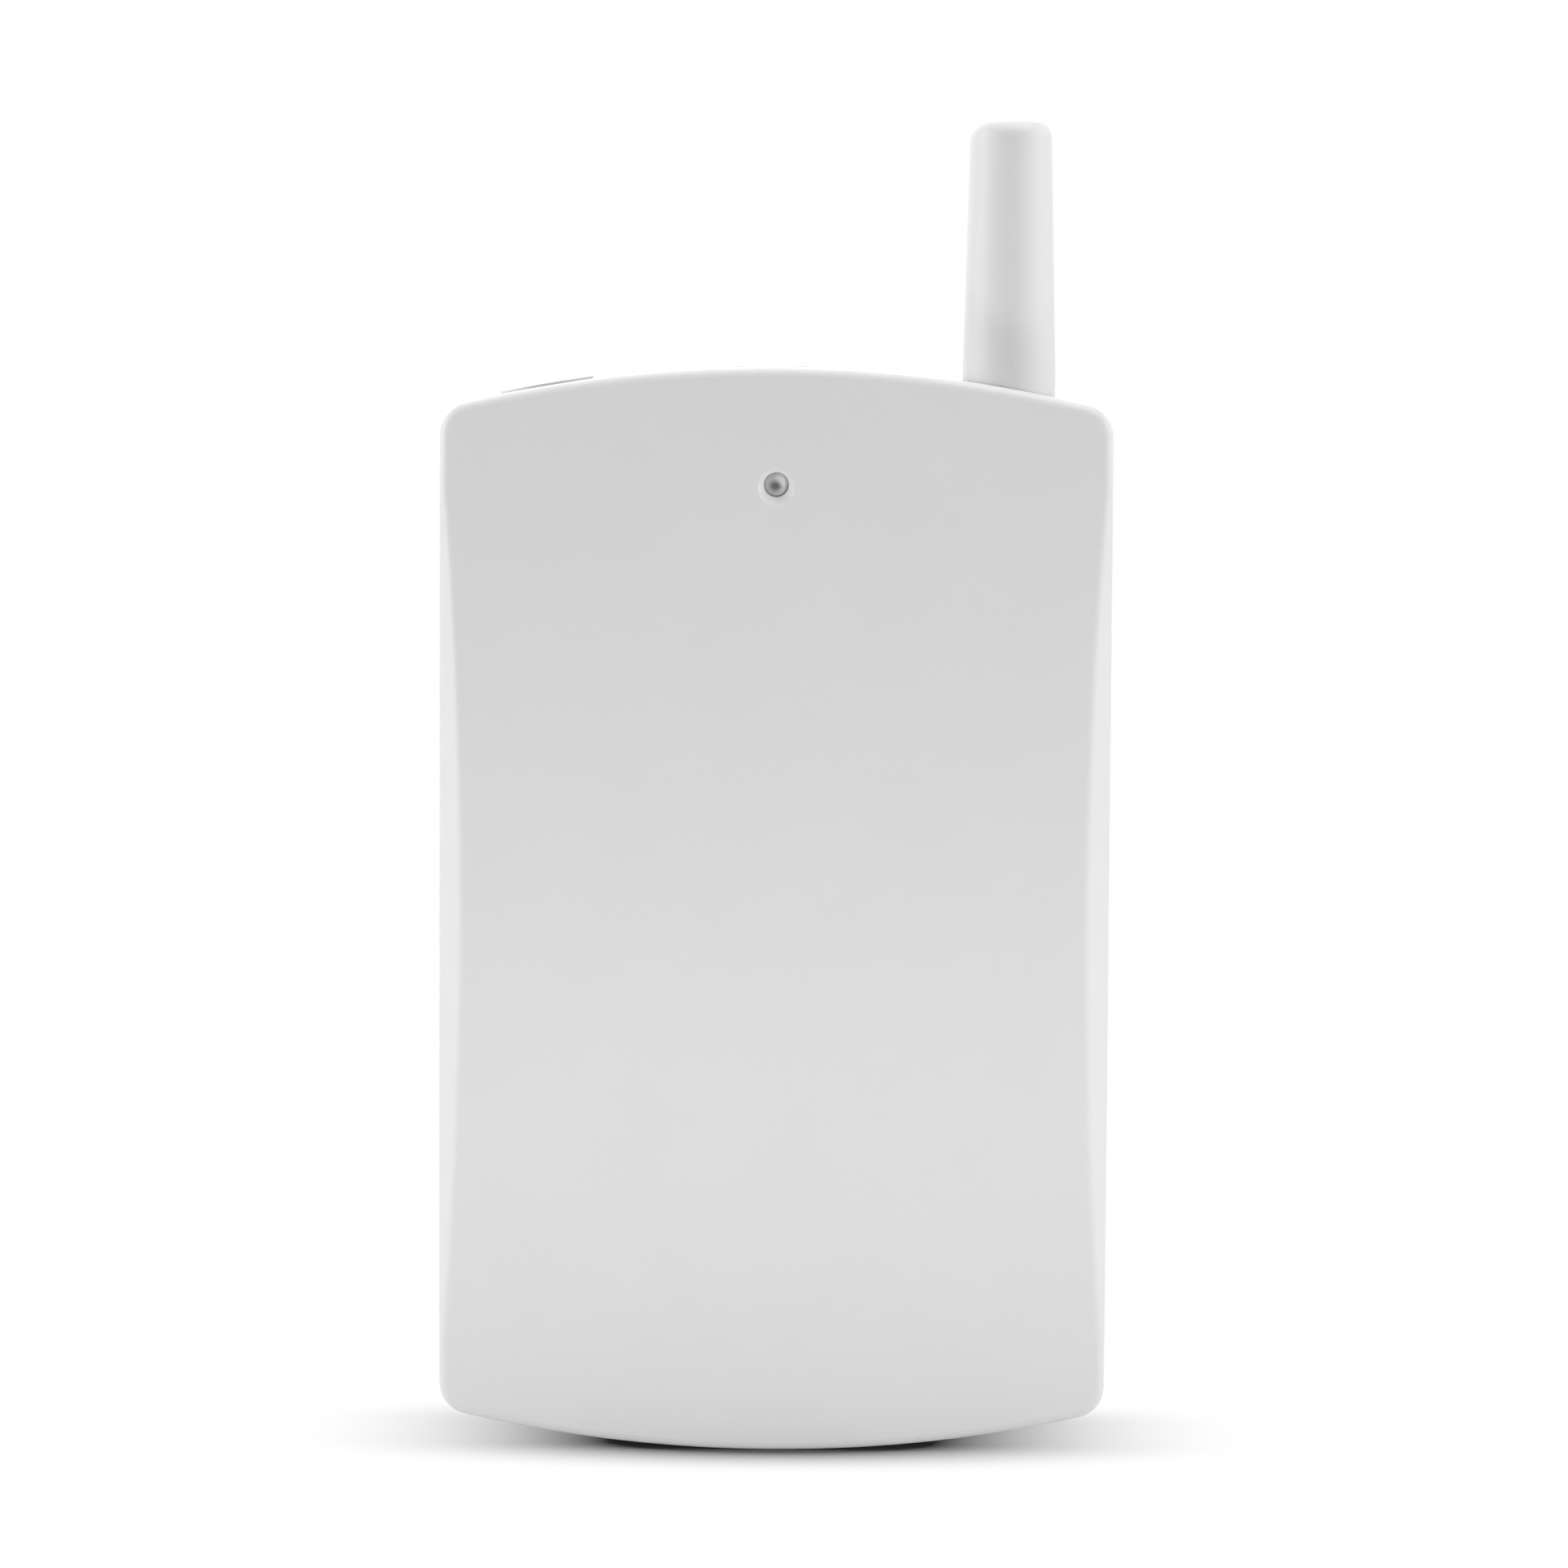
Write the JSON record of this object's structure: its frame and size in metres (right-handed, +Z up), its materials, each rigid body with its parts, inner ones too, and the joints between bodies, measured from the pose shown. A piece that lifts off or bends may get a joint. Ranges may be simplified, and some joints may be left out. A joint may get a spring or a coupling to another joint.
{
  "type": "wireless vibration detector",
  "caption": "Wall-mounted wireless vibration detector: arched two-shell case with a stub antenna, status lamp, hinged cover, circuit board and block battery.",
  "frame": {"origin": "middle of the flat wall face at the back of the case, level with the middle of the case", "axes": "+Y points into the wall along the wall face's normal, the front looks along -Y, +X is to the right seen from the front and +Z is up along the antenna"},
  "size_m": [0.065, 0.027, 0.13],
  "materials": {
    "cover_white": "white ABS, moulded with a fine even grain",
    "back_white": "white ABS, moulded, satin",
    "antenna_white": "white moulded sleeve, smooth satin",
    "plug_white": "white moulded plug, smooth",
    "whip_steel": "tinned spring wire",
    "board_green": "glass epoxy board with green solder mask",
    "screw_zinc": "zinc plated steel",
    "lamp_lens": "clear diffused epoxy lens",
    "spacer_nylon": "black nylon spacer",
    "tinned_legs": "tinned copper legs",
    "sensor_grey": "dark grey moulded case",
    "sensor_brass": "brass disc",
    "sensor_ceramic": "silvered ceramic",
    "sensor_mass": "steel slug",
    "trimmer_blue": "blue moulded body",
    "rotor_white": "white nylon rotor",
    "switch_black": "black moulded body",
    "knob_white": "white moulded knob",
    "tamper_black": "black moulded body",
    "plunger_red": "red moulded plunger",
    "header_black": "black moulded block",
    "pin_gold": "gold flashed pins",
    "jumper_blue": "dark blue moulded cap",
    "chip_black": "black epoxy package",
    "can_steel": "drawn nickel plated can",
    "capacitor_sleeve": "dark blue shrink sleeve",
    "resistor_black": "black film on ceramic",
    "resistor_tin": "tinned end caps",
    "battery_jacket": "plain lacquered steel jacket",
    "terminal_nickel": "nickel plated steel",
    "clip_black": "soft black vinyl",
    "wire_red": "red vinyl insulation",
    "wire_black": "black vinyl insulation",
    "foam_grey": "dark grey foam strip"
  },
  "bodies": {
    "base": {"back_shell": "back_white", "antenna_sleeve": "antenna_white", "antenna_whip": "whip_steel", "port_plug": "plug_white", "circuit_board": "board_green", "board_screws": "screw_zinc", "status_lamp": "lamp_lens", "lamp_legs": "tinned_legs", "lamp_spacer": "spacer_nylon", "sensor_case": "sensor_grey", "sensor_lid": "sensor_grey", "sensor_disc": "sensor_brass", "sensor_ceramic": "sensor_ceramic", "sensor_mass": "sensor_mass", "trimmer_body": "trimmer_blue", "power_switch_body": "switch_black", "tamper_switch_body": "tamper_black", "header_block": "header_black", "header_pins": "pin_gold", "coding_chip": "chip_black", "chip_legs": "tinned_legs", "resonator_can": "can_steel", "transistor": "chip_black", "transistor_legs": "tinned_legs", "filter_capacitor": "capacitor_sleeve", "supply_capacitor": "capacitor_sleeve", "resistors": "resistor_black", "resistor_caps": "resistor_tin", "battery": "battery_jacket", "battery_terminals": "terminal_nickel", "battery_foam": "foam_grey", "battery_clip": "clip_black", "clip_contacts": "terminal_nickel", "battery_lead_red": "wire_red", "battery_lead_black": "wire_black"},
    "cover": {"front_cover": "cover_white"},
    "tamper_plunger": {"tamper_plunger": "plunger_red"},
    "switch_knob": {"power_switch_knob": "knob_white"},
    "trimmer_rotor": {"trimmer_rotor": "rotor_white"},
    "jumper": {"jumper_cap": "jumper_blue"}
  },
  "joints": [
    {"name": "cover_hinge", "type": "hinge", "parent": "base", "child": "cover", "pos_m": [0, -0.0112, -0.0529], "axis": [1, 0, 0], "range_deg": [0, 55]},
    {"name": "tamper_slide", "type": "slide", "parent": "base", "child": "tamper_plunger", "axis": [0, -1, 0], "range_m": [0, 0.0015]},
    {"name": "power_slide", "type": "slide", "parent": "base", "child": "switch_knob", "axis": [1, 0, 0], "range_m": [0, 0.002]},
    {"name": "sensitivity_turn", "type": "hinge", "parent": "base", "child": "trimmer_rotor", "pos_m": [0.012, -0.01178, 0.00761], "axis": [0, -1, 0], "range_deg": [-130, 130]},
    {"name": "jumper_pull", "type": "slide", "parent": "base", "child": "jumper", "axis": [0, -1, 0], "range_m": [0, 0.006]}
  ],
  "couplings": [
    {"joint": "tamper_slide", "follows": "cover_hinge", "m_per_rad": 0.0015}
  ]
}
